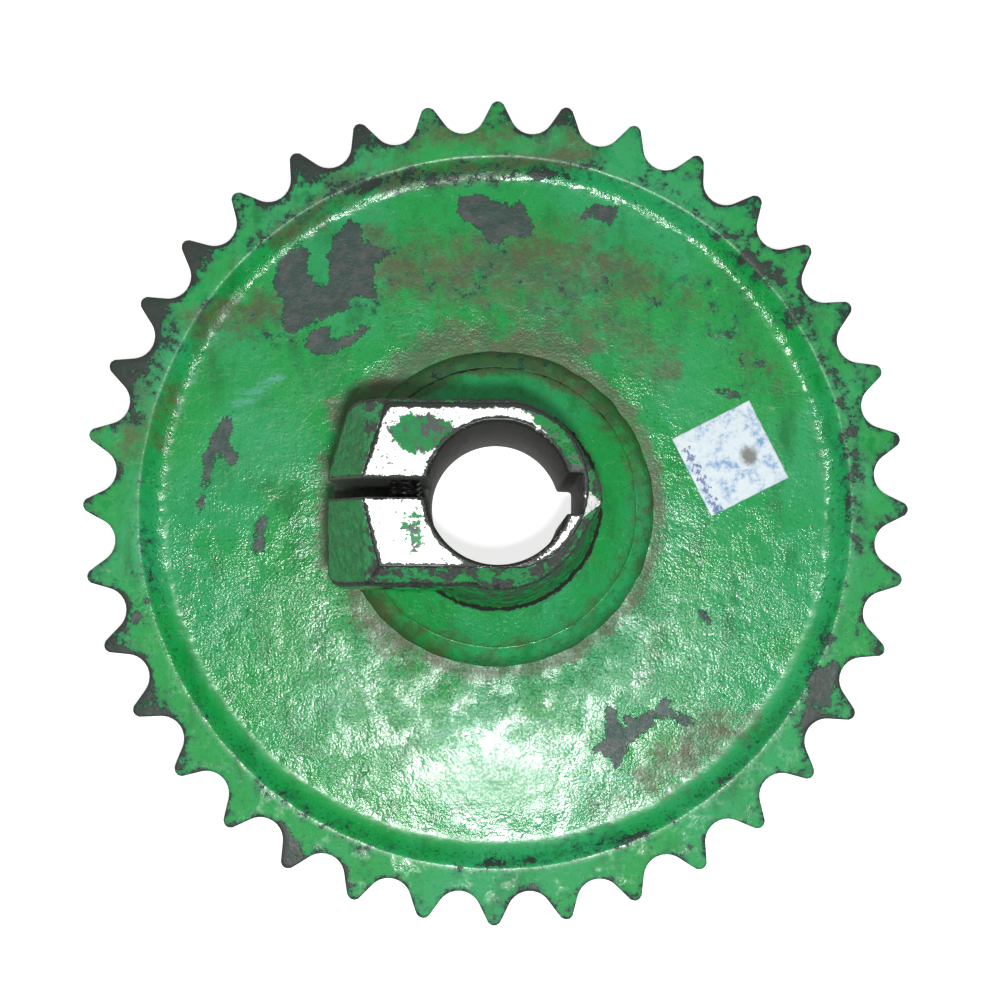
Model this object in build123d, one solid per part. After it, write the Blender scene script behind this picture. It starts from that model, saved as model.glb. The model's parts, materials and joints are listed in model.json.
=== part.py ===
from build123d import *
import os
from math import cos, radians, sin, sqrt, tan

# A roller-chain sprocket with a split clamp hub, lying on its back: the bore's
# axis is +Z, the hub stands up, the keyway is on +X and the clamp slot on -X.
# The origin is on the bore's axis, in the plane of the rim's back face.
# Every size is in millimetres.

# --- Chain and teeth ---
CHAIN_PITCH = 19.05
ROLLER_DIAMETER = 12.07
TOOTH_COUNT = 36
TOOTH_WIDTH = 11.1
TOOTH_ANGLE = 360 / TOOTH_COUNT
PITCH_RADIUS = CHAIN_PITCH / 2 / sin(radians(TOOTH_ANGLE / 2))
SEAT_RADIUS = 6.1
FLANK_ANGLE = 26.0
TIP_RADIUS = 112.0

# --- Plate: a toothed rim round a thinner web ---
FRONT_RECESS = 3.5
BACK_RECESS = 1.6
WEB_FRONT = TOOTH_WIDTH - FRONT_RECESS
RIM_INNER_RADIUS = 96.3
RIM_STEP_ANGLE = 38.0
STEP_FILLET = 4.5
HUB_SEAT_RADIUS = 34.0

# --- Hub: spigot, flange, sloping shoulder and drafted collar ---
HUB_LENGTH = 65.0
FLANGE_RADIUS = 38.0
FLANGE_EDGE_HEIGHT = 15.6
SHOULDER_INNER_RADIUS = 33.5
SHOULDER_HEIGHT = 17.4
COLLAR_FOOT_RADIUS = 27.6
COLLAR_FOOT_HEIGHT = 20.0
COLLAR_FOOT = 26.9
COLLAR_TOP = 23.2
BORE_RADIUS = 17.5
BORE_CHAMFER = 0.8

# --- Keyway for a 10 x 8 parallel key, and the boss that backs it ---
KEY_WIDTH = 10.0
KEYWAY_DEPTH = 20.8
NOSE_X = 17.6
NOSE_FOOT_RADIUS = 9.8
NOSE_TOP_RADIUS = 8.2

# --- Clamp lugs either side of the slot ---
LUG_BASE = 21.0
LUG_FACE_LOW = -22.8
LUG_FACE_HIGH = 23.6
LUG_END = -42.6
LUG_END_HIGH = -37.0
LUG_INNER_X = -6.0
LUG_CORNER_RADIUS = 4.0
LUG_UNDERCUT_HEIGHT = 12.0
LUG_UNDERCUT_REACH = 9.0
SLOT_LOW = -1.05
SLOT_HIGH = 3.65
SLOT_FLOOR = 30.0

# --- Bevels that run round the machined front face ---
END_BEVEL_X = -33.2
END_BEVEL_DROP = 9.5
LOW_BEVEL_Y = -17.9
LOW_BEVEL_DROP = 4.8
HIGH_BEVEL_Y = 21.9
HIGH_BEVEL_DROP = 2.4
RING_BEVEL_RADIUS = 20.3
RING_BEVEL_OFFSET = (1.6, 1.7)
RING_BEVEL_DROP = 5.0

# --- Clamp screws: M8 x 30 socket heads on lock washers, sunk in the lower lug ---
SCREW_X = -23.2
SCREW_HEIGHTS = {"front": 52.2, "rear": 36.6}
SCREW_RADIUS = 4.0
SCREW_LENGTH = 30.0
HEAD_RADIUS = 6.5
HEAD_HEIGHT = 8.0
SOCKET_WIDTH = 6.0
SOCKET_DEPTH = 4.0
CLEARANCE_RADIUS = 4.5
TAPPED_RADIUS = 4.05
COUNTERBORE_RADIUS = 7.2
COUNTERBORE_FLOOR = -11.5
WASHER_RADIUS = 6.35
WASHER_BORE = 4.05
WASHER_THICKNESS = 2.0
WASHER_GAP = 1.2
FACE_CLEARANCE = 0.02

# --- Weld beads ---
FRONT_BEAD_FOOT = 43.3
FRONT_BEAD_BULGE = 0.9
BACK_BEAD_WIDTH = 4.0
BACK_BEAD_DEPTH = 3.2
BACK_BEAD_CROWN = 1.2

# --- Label ---
LABEL_SIDE = 24.0
LABEL_THICKNESS = 0.15
LABEL_CENTRE = (64.0, 14.0)
LABEL_TURN = 27.0

LONG = 200.0


def revolve_profile(points):
    """Turn a closed (radius, height) polygon round the bore's axis."""
    section = Plane.XZ * make_face(Polyline(*points, close=True))
    return revolve(section, Axis.Z)


def polar(radius, angle):
    """Return the plan point at a radius and an angle in degrees."""
    return (radius * cos(radians(angle)), radius * sin(radians(angle)))


def block(low, high):
    """Return a box from its lowest to its highest corner."""
    size = [b - a for a, b in zip(low, high)]
    centre = [(a + b) / 2 for a, b in zip(low, high)]
    return Pos(*centre) * Box(*size)


def tooth_outline():
    """Return the closed outline of the teeth as a face.

    Each gap is a roller seat centred on the pitch circle, and each flank is a
    straight line that leaves the seat on a tangent and ends on the tip circle.
    """
    seat_x = PITCH_RADIUS * sin(radians(TOOTH_ANGLE / 2))
    seat_y = PITCH_RADIUS * cos(radians(TOOTH_ANGLE / 2))
    flank_x = seat_x - SEAT_RADIUS * cos(radians(FLANK_ANGLE))
    flank_y = seat_y - SEAT_RADIUS * sin(radians(FLANK_ANGLE))
    slope = tan(radians(FLANK_ANGLE))
    # The flank is x = flank_x - slope * (y - flank_y), and meets x² + y² = tip².
    reach = flank_x + slope * flank_y
    square = 1 + slope**2
    tip_y = (reach * slope + sqrt(square * TIP_RADIUS**2 - reach**2)) / square
    tip_x = reach - slope * tip_y

    def place(across, along, centre_angle):
        direction = radians(centre_angle)
        x = along * cos(direction) - across * sin(direction)
        y = along * sin(direction) + across * cos(direction)
        return (x, y)

    edges = []
    for index in range(TOOTH_COUNT):
        angle = index * TOOTH_ANGLE
        following = angle + TOOTH_ANGLE
        root = polar(PITCH_RADIUS - SEAT_RADIUS, angle + TOOTH_ANGLE / 2)
        edges.append(
            ThreePointArc(place(-tip_x, tip_y, angle), polar(TIP_RADIUS, angle), place(tip_x, tip_y, angle))
        )
        edges.append(Line(place(tip_x, tip_y, angle), place(flank_x, flank_y, angle)))
        edges.append(
            ThreePointArc(place(flank_x, flank_y, angle), root, place(-flank_x, flank_y, following))
        )
        edges.append(Line(place(-flank_x, flank_y, following), place(-tip_x, tip_y, following)))
    return make_face(edges)


def recess(depth, inner_radius):
    """Return the ring that a web recess removes, with its open side at height 0.

    The ring's outer wall slopes out to the rim, and a fillet joins it to the floor.
    """
    slope = radians(RIM_STEP_ANGLE)
    foot_radius = RIM_INNER_RADIUS - depth / tan(slope)
    tangent = STEP_FILLET * tan(slope / 2)
    tangent = min(tangent, 0.9 * depth / sin(slope))
    section = Polyline(
        (inner_radius, 1),
        (inner_radius, -depth),
        (foot_radius - tangent, -depth),
    )
    fillet_end = (foot_radius + tangent * cos(slope), -depth + tangent * sin(slope))
    curve = TangentArc(section @ 1, fillet_end, tangent=(1, 0))
    closing = Polyline(
        fillet_end,
        (RIM_INNER_RADIUS, 0),
        (RIM_INNER_RADIUS, 1),
        (inner_radius, 1),
    )
    return revolve(Plane.XZ * make_face([section, curve, closing]), Axis.Z)


def make_plate():
    """Make the toothed rim and web, one forging with a hole for the hub."""
    plate = extrude(tooth_outline(), TOOTH_WIDTH)
    plate -= Pos(0, 0, TOOTH_WIDTH) * recess(FRONT_RECESS, HUB_SEAT_RADIUS - 5)
    plate -= Rot(180, 0, 0) * recess(BACK_RECESS, HUB_SEAT_RADIUS - 5)
    plate -= Cylinder(HUB_SEAT_RADIUS, LONG)
    groove = [
        (HUB_SEAT_RADIUS - 1, BACK_RECESS - 1),
        (HUB_SEAT_RADIUS + BACK_BEAD_WIDTH * (BACK_BEAD_DEPTH + 1) / BACK_BEAD_DEPTH, BACK_RECESS - 1),
        (HUB_SEAT_RADIUS, BACK_RECESS + BACK_BEAD_DEPTH),
        (HUB_SEAT_RADIUS - 1, BACK_RECESS + BACK_BEAD_DEPTH),
    ]
    return plate - revolve_profile(groove)


def hub_turned_body():
    """Make the round parts of the hub: spigot, flange, shoulder and collar."""
    return revolve_profile(
        [
            (0, 0),
            (HUB_SEAT_RADIUS, 0),
            (HUB_SEAT_RADIUS, WEB_FRONT),
            (FLANGE_RADIUS, WEB_FRONT),
            (FLANGE_RADIUS, FLANGE_EDGE_HEIGHT - 0.8),
            (FLANGE_RADIUS - 0.8, FLANGE_EDGE_HEIGHT),
            (SHOULDER_INNER_RADIUS, SHOULDER_HEIGHT),
            (COLLAR_FOOT_RADIUS, COLLAR_FOOT_HEIGHT),
            (COLLAR_FOOT, COLLAR_FOOT_HEIGHT + 1.2),
            (COLLAR_TOP, HUB_LENGTH),
            (0, HUB_LENGTH),
        ]
    )


def hub_nose():
    """Make the boss behind the keyway, drafted like the collar and hulled to it."""
    height = HUB_LENGTH - SHOULDER_HEIGHT
    sections = []
    for level, collar, nose in (
        (SHOULDER_HEIGHT, COLLAR_FOOT - 1.0, NOSE_FOOT_RADIUS),
        (SHOULDER_HEIGHT + height, COLLAR_TOP - 1.0, NOSE_TOP_RADIUS),
    ):
        # The flanks are the outer tangents of the collar circle and the nose circle.
        lean = (collar - nose) / NOSE_X
        side = sqrt(1 - lean**2)
        outline = Polyline(
            (collar * lean, -collar * side),
            (NOSE_X + nose * lean, -nose * side),
        )
        tip = ThreePointArc(outline @ 1, (NOSE_X + nose, 0), (NOSE_X + nose * lean, nose * side))
        back = Polyline(tip @ 1, (collar * lean, collar * side), (collar * lean, -collar * side))
        sections.append(Pos(0, 0, level) * make_face([outline, tip, back]))
    return loft(sections)


def hub_lugs():
    """Make the pair of clamp lugs, with a sloping end and a cut-away underside."""
    plan = Polyline(
        (LUG_INNER_X, LUG_FACE_LOW),
        (LUG_END, LUG_FACE_LOW),
        (LUG_END, SLOT_HIGH),
        (LUG_END_HIGH, LUG_FACE_HIGH),
        (LUG_INNER_X, LUG_FACE_HIGH),
        close=True,
    )
    lugs = Pos(0, 0, SHOULDER_HEIGHT) * extrude(make_face(plan), HUB_LENGTH - SHOULDER_HEIGHT)
    corner = lugs.edges().filter_by(Axis.Z).sort_by(Axis.Y)
    outer = [edge for edge in corner if edge.center().X < LUG_END_HIGH + 1 and abs(edge.center().Y) > 10]
    lugs = fillet(outer, LUG_CORNER_RADIUS)
    undercut = Plane.XZ * make_face(
        Polyline(
            (LUG_END - 1, SHOULDER_HEIGHT - 1),
            (LUG_END + LUG_UNDERCUT_REACH, SHOULDER_HEIGHT - 1),
            (LUG_END - 1, SHOULDER_HEIGHT + LUG_UNDERCUT_HEIGHT),
            close=True,
        )
    )
    return lugs - extrude(undercut, LONG / 2, both=True)


def edge_bevel(point, direction, width, drop):
    """Return the wedge that a bevel takes off the front face.

    The bevel starts at a plan point on the front face and falls by drop over
    width as it goes out along direction.
    """
    wedge = make_face(
        Polyline(
            (0, 0),
            (3 * width, -3 * drop),
            (3 * width, drop),
            (0, drop),
            close=True,
        )
    )
    heading = Vector(*direction, 0)
    frame = Plane(
        origin=(point[0], point[1], HUB_LENGTH),
        x_dir=heading,
        z_dir=heading.cross(Vector(0, 0, 1)),
    )
    return extrude(frame * wedge, LONG / 2, both=True)


def ring_bevel():
    """Return what the bevel takes off round the collar's front edge."""
    outer = RING_BEVEL_RADIUS + 12
    drop = RING_BEVEL_DROP * 12 / (COLLAR_TOP - RING_BEVEL_RADIUS + 1.5)
    ring = revolve_profile(
        [
            (RING_BEVEL_RADIUS, HUB_LENGTH),
            (outer, HUB_LENGTH - drop),
            (outer, HUB_LENGTH + 5),
            (RING_BEVEL_RADIUS, HUB_LENGTH + 5),
        ]
    )
    ring = Pos(*RING_BEVEL_OFFSET, 0) * ring
    return ring & block((0, -LONG, 0), (LONG, LONG, LONG))


def make_hub():
    """Make the split clamp hub."""
    lug_side = edge_bevel((0, LOW_BEVEL_Y), (0, -1), LOW_BEVEL_Y - LUG_FACE_LOW, LOW_BEVEL_DROP)
    high_side = edge_bevel((0, HIGH_BEVEL_Y), (0, 1), LUG_FACE_HIGH - HIGH_BEVEL_Y, HIGH_BEVEL_DROP)
    end_width = END_BEVEL_X - LUG_END
    low_end = edge_bevel((END_BEVEL_X, 0), (-0.97, -0.24), end_width, END_BEVEL_DROP)
    high_end = edge_bevel((END_BEVEL_X, SLOT_HIGH), (-0.95, 0.31), end_width, END_BEVEL_DROP)
    lugs = hub_lugs() - low_end - high_end
    hub = hub_turned_body() + hub_nose() + lugs
    hub -= lug_side
    hub -= high_side
    hub -= ring_bevel()

    hub -= Cylinder(BORE_RADIUS, LONG)
    for level, start, end in (
        (0, BORE_RADIUS + BORE_CHAMFER, BORE_RADIUS),
        (HUB_LENGTH - BORE_CHAMFER, BORE_RADIUS, BORE_RADIUS + BORE_CHAMFER),
    ):
        mouth = Cone(start, end, BORE_CHAMFER, align=(Align.CENTER, Align.CENTER, Align.MIN))
        hub -= Pos(0, 0, level) * mouth
    hub -= block((0, -KEY_WIDTH / 2, -1), (KEYWAY_DEPTH, KEY_WIDTH / 2, HUB_LENGTH + 1))
    hub -= block((LUG_END - 5, SLOT_LOW, SLOT_FLOOR), (-BORE_RADIUS / 2, SLOT_HIGH, HUB_LENGTH + 1))

    for height in SCREW_HEIGHTS.values():
        for radius, start, end in (
            (COUNTERBORE_RADIUS, -LONG / 4, COUNTERBORE_FLOOR),
            (CLEARANCE_RADIUS, COUNTERBORE_FLOOR - 1, SLOT_LOW + 1),
            (TAPPED_RADIUS, SLOT_HIGH - 1, LONG / 4),
        ):
            drill = Cylinder(radius, end - start, rotation=(90, 0, 0))
            hub -= Pos(SCREW_X, (start + end) / 2, height) * drill
    return hub


def make_screw(height):
    """Make one socket head screw, lying along Y with its head towards -Y."""
    seat = COUNTERBORE_FLOOR - WASHER_THICKNESS - 2 * FACE_CLEARANCE
    up = (Align.CENTER, Align.CENTER, Align.MIN)
    down = (Align.CENTER, Align.CENTER, Align.MAX)
    shank = Cylinder(SCREW_RADIUS, SCREW_LENGTH, align=up)
    shank = chamfer(shank.edges().group_by(Axis.Z)[-1], 0.8)
    head = Cylinder(HEAD_RADIUS, HEAD_HEIGHT, align=down)
    head = chamfer(head.edges().group_by(Axis.Z)[0], 0.6)
    hexagon = RegularPolygon(SOCKET_WIDTH / 2, 6, major_radius=False)
    socket = Pos(0, 0, -HEAD_HEIGHT) * extrude(hexagon, SOCKET_DEPTH)
    screw = shank + head - socket
    return Pos(SCREW_X, seat, height) * Rot(-90, 0, 0) * screw


def make_washer(height):
    """Make one split lock washer, pressed flat, between head and counterbore."""
    ring = Cylinder(WASHER_RADIUS, WASHER_THICKNESS) - Cylinder(WASHER_BORE, WASHER_THICKNESS)
    split = Pos(WASHER_RADIUS, 0, 0) * Rot(0, 0, 20) * Box(WASHER_RADIUS, WASHER_GAP, WASHER_THICKNESS * 2)
    centre = COUNTERBORE_FLOOR - FACE_CLEARANCE - WASHER_THICKNESS / 2
    return Pos(SCREW_X, centre, height) * Rot(-90, 0, 0) * (ring - split)


def make_front_bead():
    """Make the fillet weld between the hub's flange and the web's front."""
    top = FLANGE_EDGE_HEIGHT - 0.8
    middle = (
        (FLANGE_RADIUS + FRONT_BEAD_FOOT) / 2 + FRONT_BEAD_BULGE,
        (WEB_FRONT + top) / 2 + FRONT_BEAD_BULGE * 0.6,
    )
    face = ThreePointArc((FRONT_BEAD_FOOT, WEB_FRONT), middle, (FLANGE_RADIUS, top))
    legs = Polyline((FLANGE_RADIUS, top), (FLANGE_RADIUS, WEB_FRONT), (FRONT_BEAD_FOOT, WEB_FRONT))
    return revolve(Plane.XZ * make_face([face, legs]), Axis.Z)


def make_back_bead():
    """Make the groove weld between the hub's spigot and the web's back."""
    foot = (HUB_SEAT_RADIUS + BACK_BEAD_WIDTH, BACK_RECESS)
    crown = (HUB_SEAT_RADIUS + BACK_BEAD_WIDTH / 2, BACK_RECESS - BACK_BEAD_CROWN)
    wall = (HUB_SEAT_RADIUS, BACK_RECESS - BACK_BEAD_CROWN / 2)
    root = (HUB_SEAT_RADIUS, BACK_RECESS + BACK_BEAD_DEPTH)
    face = ThreePointArc(foot, crown, wall)
    legs = Polyline(wall, root, foot)
    return revolve(Plane.XZ * make_face([face, legs]), Axis.Z)


def make_label():
    """Make the square label stuck to the web's front."""
    label = extrude(RectangleRounded(LABEL_SIDE, LABEL_SIDE, 0.8), LABEL_THICKNESS)
    return Pos(*LABEL_CENTRE, WEB_FRONT) * Rot(0, 0, LABEL_TURN) * label


nodes = {
    "sprocket_plate": make_plate(),
    "clamp_hub": make_hub(),
    "front_weld_bead": make_front_bead(),
    "back_weld_bead": make_back_bead(),
    "security_label": make_label(),
}
for place, height in SCREW_HEIGHTS.items():
    nodes["clamp_screw_" + place] = make_screw(height)
    nodes["lock_washer_" + place] = make_washer(height)

os.makedirs("parts", exist_ok=True)
for name, shape in nodes.items():
    export_step(shape, f"parts/{name}.step")
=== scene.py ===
import json
from math import atan2, cos, pi, radians, sin, tan

import bmesh
import bpy
import numpy as np
from mathutils import Matrix, Vector, noise
from mathutils.kdtree import KDTree


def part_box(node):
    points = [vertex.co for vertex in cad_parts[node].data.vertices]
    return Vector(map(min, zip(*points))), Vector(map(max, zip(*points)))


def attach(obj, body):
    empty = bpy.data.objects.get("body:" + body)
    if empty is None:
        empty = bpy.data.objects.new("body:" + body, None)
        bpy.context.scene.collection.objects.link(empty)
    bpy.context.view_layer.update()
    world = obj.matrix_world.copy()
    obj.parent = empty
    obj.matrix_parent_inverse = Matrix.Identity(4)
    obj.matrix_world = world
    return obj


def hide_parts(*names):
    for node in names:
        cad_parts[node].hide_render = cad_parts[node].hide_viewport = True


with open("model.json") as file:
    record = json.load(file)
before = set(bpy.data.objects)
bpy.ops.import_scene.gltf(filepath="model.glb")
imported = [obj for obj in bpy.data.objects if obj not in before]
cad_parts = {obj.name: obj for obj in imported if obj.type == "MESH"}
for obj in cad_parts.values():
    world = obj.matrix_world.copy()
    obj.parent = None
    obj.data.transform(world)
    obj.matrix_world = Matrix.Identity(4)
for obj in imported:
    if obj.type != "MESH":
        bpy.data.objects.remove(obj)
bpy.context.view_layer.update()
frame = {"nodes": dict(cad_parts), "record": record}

MM = 0.001
RANDOM = np.random.default_rng(36)

# --- Sizes in millimetres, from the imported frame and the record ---
RECORD = frame["record"]
MOUNTS = {mount["name"]: mount for mount in RECORD["mounts"]}
TOOTH_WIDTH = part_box("sprocket_plate")[1].z / MM
TIP_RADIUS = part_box("sprocket_plate")[1].x / MM
HUB_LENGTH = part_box("clamp_hub")[1].z / MM
PITCH_RADIUS = MOUNTS["tooth_ring"]["dims"]["r_mm"]
BORE_RADIUS = MOUNTS["shaft_bore"]["dims"]["r_mm"]
BEAD_LOW, BEAD_HIGH = (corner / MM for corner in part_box("front_weld_bead"))
BACK_BEAD_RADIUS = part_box("back_weld_bead")[1].x / MM
WEB_FRONT = BEAD_LOW.z
WEB_BACK = 1.6
HOLE_RADIUS = 34.0
FLANGE_RADIUS = 38.0
COLLAR_FOOT_RADIUS = 27.6
COLLAR_FOOT_HEIGHT = 20.0
SLOT_FLOOR = 29.0
END_FACE_X = -33.0
KEYWAY_X = 20.8
LOW_FACE_Y = -22.8
LABEL_SIDE = 24.0
SCUFF_TURN = radians(-42)

TOOTH_COUNT = 36
TOOTH_ANGLE = 2 * pi / TOOTH_COUNT
SEAT_RADIUS = 6.1
FLANK_ANGLE = radians(26)

STEP_RADIUS = 96.3
STEP_ANGLE = radians(38)
STEP_FILLET = 7.0
FILLET_RADIUS = 91.0

# --- Colours, linear ---
GREEN = (0.011, 0.37, 0.070)
GREEN_PALE = (0.036, 0.42, 0.175)
GREEN_DEEP = (0.006, 0.190, 0.038)
GREEN_BLACK = (0.010, 0.050, 0.022)
GREEN_SCUFF_AND_SHEEN = (0.140, 0.500, 0.370)
GRIME = (0.055, 0.100, 0.035)
RUST_GRIME = (0.110, 0.080, 0.040)
SCALE_STEEL = (0.040, 0.078, 0.066)
SCALE_GREY = (0.085, 0.100, 0.095)
SCALE_PALE = (0.200, 0.210, 0.200)
SOOT = (0.034, 0.046, 0.036)
BARE_STEEL = (0.86, 0.86, 0.84)
BORE_BROWN = (0.050, 0.058, 0.030)
BORE_BLACK = (0.014, 0.013, 0.009)


# ---------------------------------------------------------------- materials


class Finish:
    """Builds one procedural material from a few named steps.

    Every pattern is placed by the piece's own coordinates, in millimetres.
    """

    def __init__(self, name):
        self.material = bpy.data.materials.new(name)
        self.material.use_nodes = True
        self.tree = self.material.node_tree
        self.tree.nodes.clear()
        self.output = self.node("ShaderNodeOutputMaterial")
        self.shader = self.node("ShaderNodeBsdfPrincipled")
        self.link(self.shader.outputs["BSDF"], self.output.inputs["Surface"])
        place = self.node("ShaderNodeTexCoord").outputs["Object"]
        scaled = self.node("ShaderNodeVectorMath", operation="SCALE")
        self.link(place, scaled.inputs[0])
        scaled.inputs["Scale"].default_value = 1 / MM
        self.place = scaled.outputs["Vector"]

    def node(self, kind, **settings):
        made = self.tree.nodes.new(kind)
        for key, value in settings.items():
            setattr(made, key, value)
        return made

    def link(self, source, target):
        self.tree.links.new(source, target)

    def feed(self, value, socket):
        """Wire a socket, or set it to a number or a colour."""
        if isinstance(value, bpy.types.NodeSocket):
            self.link(value, socket)
        elif isinstance(value, tuple) and len(value) == 3 and socket.type == "RGBA":
            socket.default_value = (*value, 1)
        else:
            socket.default_value = value

    def math(self, operation, first, second=0.0, clamp=False):
        made = self.node("ShaderNodeMath", operation=operation, use_clamp=clamp)
        self.feed(first, made.inputs[0])
        self.feed(second, made.inputs[1])
        return made.outputs[0]

    def step(self, value, low, high, start=0.0, end=1.0):
        """Ramp smoothly from start, where value is low, to end, where it is high."""
        made = self.node("ShaderNodeMapRange", interpolation_type="SMOOTHSTEP")
        self.feed(value, made.inputs["Value"])
        made.inputs["From Min"].default_value = low
        made.inputs["From Max"].default_value = high
        made.inputs["To Min"].default_value = start
        made.inputs["To Max"].default_value = end
        return made.outputs["Result"]

    def field(self, name):
        """Read a number that the mesh carries at each vertex."""
        made = self.node("ShaderNodeAttribute", attribute_name=name)
        return made.outputs["Fac"]

    def noise(self, size, detail=3.0, roughness=0.55, stretch=(1, 1, 1), shift=0.0, turn=0.0):
        """Return noise with features about size millimetres across."""
        mapping = self.node("ShaderNodeMapping")
        self.link(self.place, mapping.inputs["Vector"])
        mapping.inputs["Scale"].default_value = stretch
        mapping.inputs["Rotation"].default_value = (0, 0, turn)
        mapping.inputs["Location"].default_value = (shift, shift * 0.7, shift * 0.3)
        made = self.node("ShaderNodeTexNoise")
        self.link(mapping.outputs["Vector"], made.inputs["Vector"])
        made.inputs["Scale"].default_value = 1 / size
        made.inputs["Detail"].default_value = detail
        made.inputs["Roughness"].default_value = roughness
        return made.outputs["Fac"]

    def blend(self, share, under, over):
        """Mix two colours."""
        made = self.node("ShaderNodeMix", data_type="RGBA")
        self.feed(share, made.inputs["Factor"])
        self.feed(under, made.inputs[6])
        self.feed(over, made.inputs[7])
        return made.outputs[2]

    def between(self, share, under, over):
        """Mix two numbers."""
        made = self.node("ShaderNodeMix", data_type="FLOAT")
        self.feed(share, made.inputs["Factor"])
        self.feed(under, made.inputs[2])
        self.feed(over, made.inputs[3])
        return made.outputs[0]

    def total(self, *values):
        """Add numbers."""
        result = values[0]
        for value in values[1:]:
            result = self.math("ADD", result, value)
        return result

    def wobble(self, pattern, reach):
        """Centre a pattern on zero and scale it to reach."""
        return self.math("MULTIPLY", self.math("SUBTRACT", pattern, 0.5), reach)

    def bump(self, height, depth, under=None):
        """Raise the surface by height times depth, a depth in millimetres."""
        made = self.node("ShaderNodeBump")
        self.feed(height, made.inputs["Height"])
        made.inputs["Distance"].default_value = depth * MM
        if under is not None:
            self.link(under, made.inputs["Normal"])
        return made.outputs["Normal"]

    def wear(self, colour, roughness, metallic, normal):
        """Wire the shader and return the material."""
        self.feed(colour, self.shader.inputs["Base Color"])
        self.feed(roughness, self.shader.inputs["Roughness"])
        self.feed(metallic, self.shader.inputs["Metallic"])
        self.link(normal, self.shader.inputs["Normal"])
        return self.material


def old_enamel(finish):
    """Return the colour and the dirt of old brushed green enamel.

    The mesh carries two fields from 0 to 1: grime, and rub where it is scuffed pale; on the plate's step
    wall rub also paints a paler sheen that stands in for the light the wall catches.
    """
    cloud = finish.noise(30.0, detail=2.0, shift=11.0)
    paint = finish.blend(finish.step(cloud, 0.40, 0.65, 0.0, 0.55), GREEN, GREEN_PALE)
    brush = finish.noise(7.0, detail=5.0, roughness=0.6, stretch=(1.0, 0.4, 1.0), shift=3.0)
    paint = finish.blend(finish.step(brush, 0.48, 0.75, 0.0, 0.75), paint, GREEN_DEEP)
    streaky = finish.noise(3.0, detail=7.0, roughness=0.8, stretch=(0.22, 1.3, 1.0), turn=SCUFF_TURN)
    # rub is real scuffing, and on the plate's step wall a painted sheen.
    rubbed = finish.total(finish.field("rub"), finish.wobble(streaky, 3.0))
    paint = finish.blend(finish.step(rubbed, 0.30, 0.95, 0.0, 0.70), paint, GREEN_SCUFF_AND_SHEEN)
    speck = finish.noise(0.9, detail=4.0, roughness=0.7, shift=29.0)
    speck = finish.total(speck, finish.math("MULTIPLY", finish.field("peel"), 0.07))
    paint = finish.blend(finish.step(speck, 0.60, 0.72, 0.0, 0.75), paint, GREEN_BLACK)
    strand = finish.noise(11.0, detail=3.0, stretch=(0.35, 1.6, 1.0), shift=37.0)
    scratch = finish.math("ABSOLUTE", finish.math("SUBTRACT", strand, 0.52))
    broken = finish.step(finish.noise(8.0, shift=43.0), 0.52, 0.60)
    scratch = finish.math("MULTIPLY", finish.step(scratch, 0.0035, 0.001), broken)
    paint = finish.blend(finish.math("MULTIPLY", scratch, 0.5), paint, (0.30, 0.46, 0.34))

    ragged = finish.noise(5.0, detail=8.0, roughness=0.82, shift=17.0)
    dirt = finish.total(finish.field("grime"), finish.wobble(ragged, 2.6))
    soiled = finish.step(dirt, 0.25, 0.95, 0.0, 0.85)
    brown = finish.step(finish.noise(9.0, detail=3.0, shift=19.0), 0.42, 0.62)
    return finish.blend(soiled, paint, finish.blend(brown, GRIME, RUST_GRIME)), soiled


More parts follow.
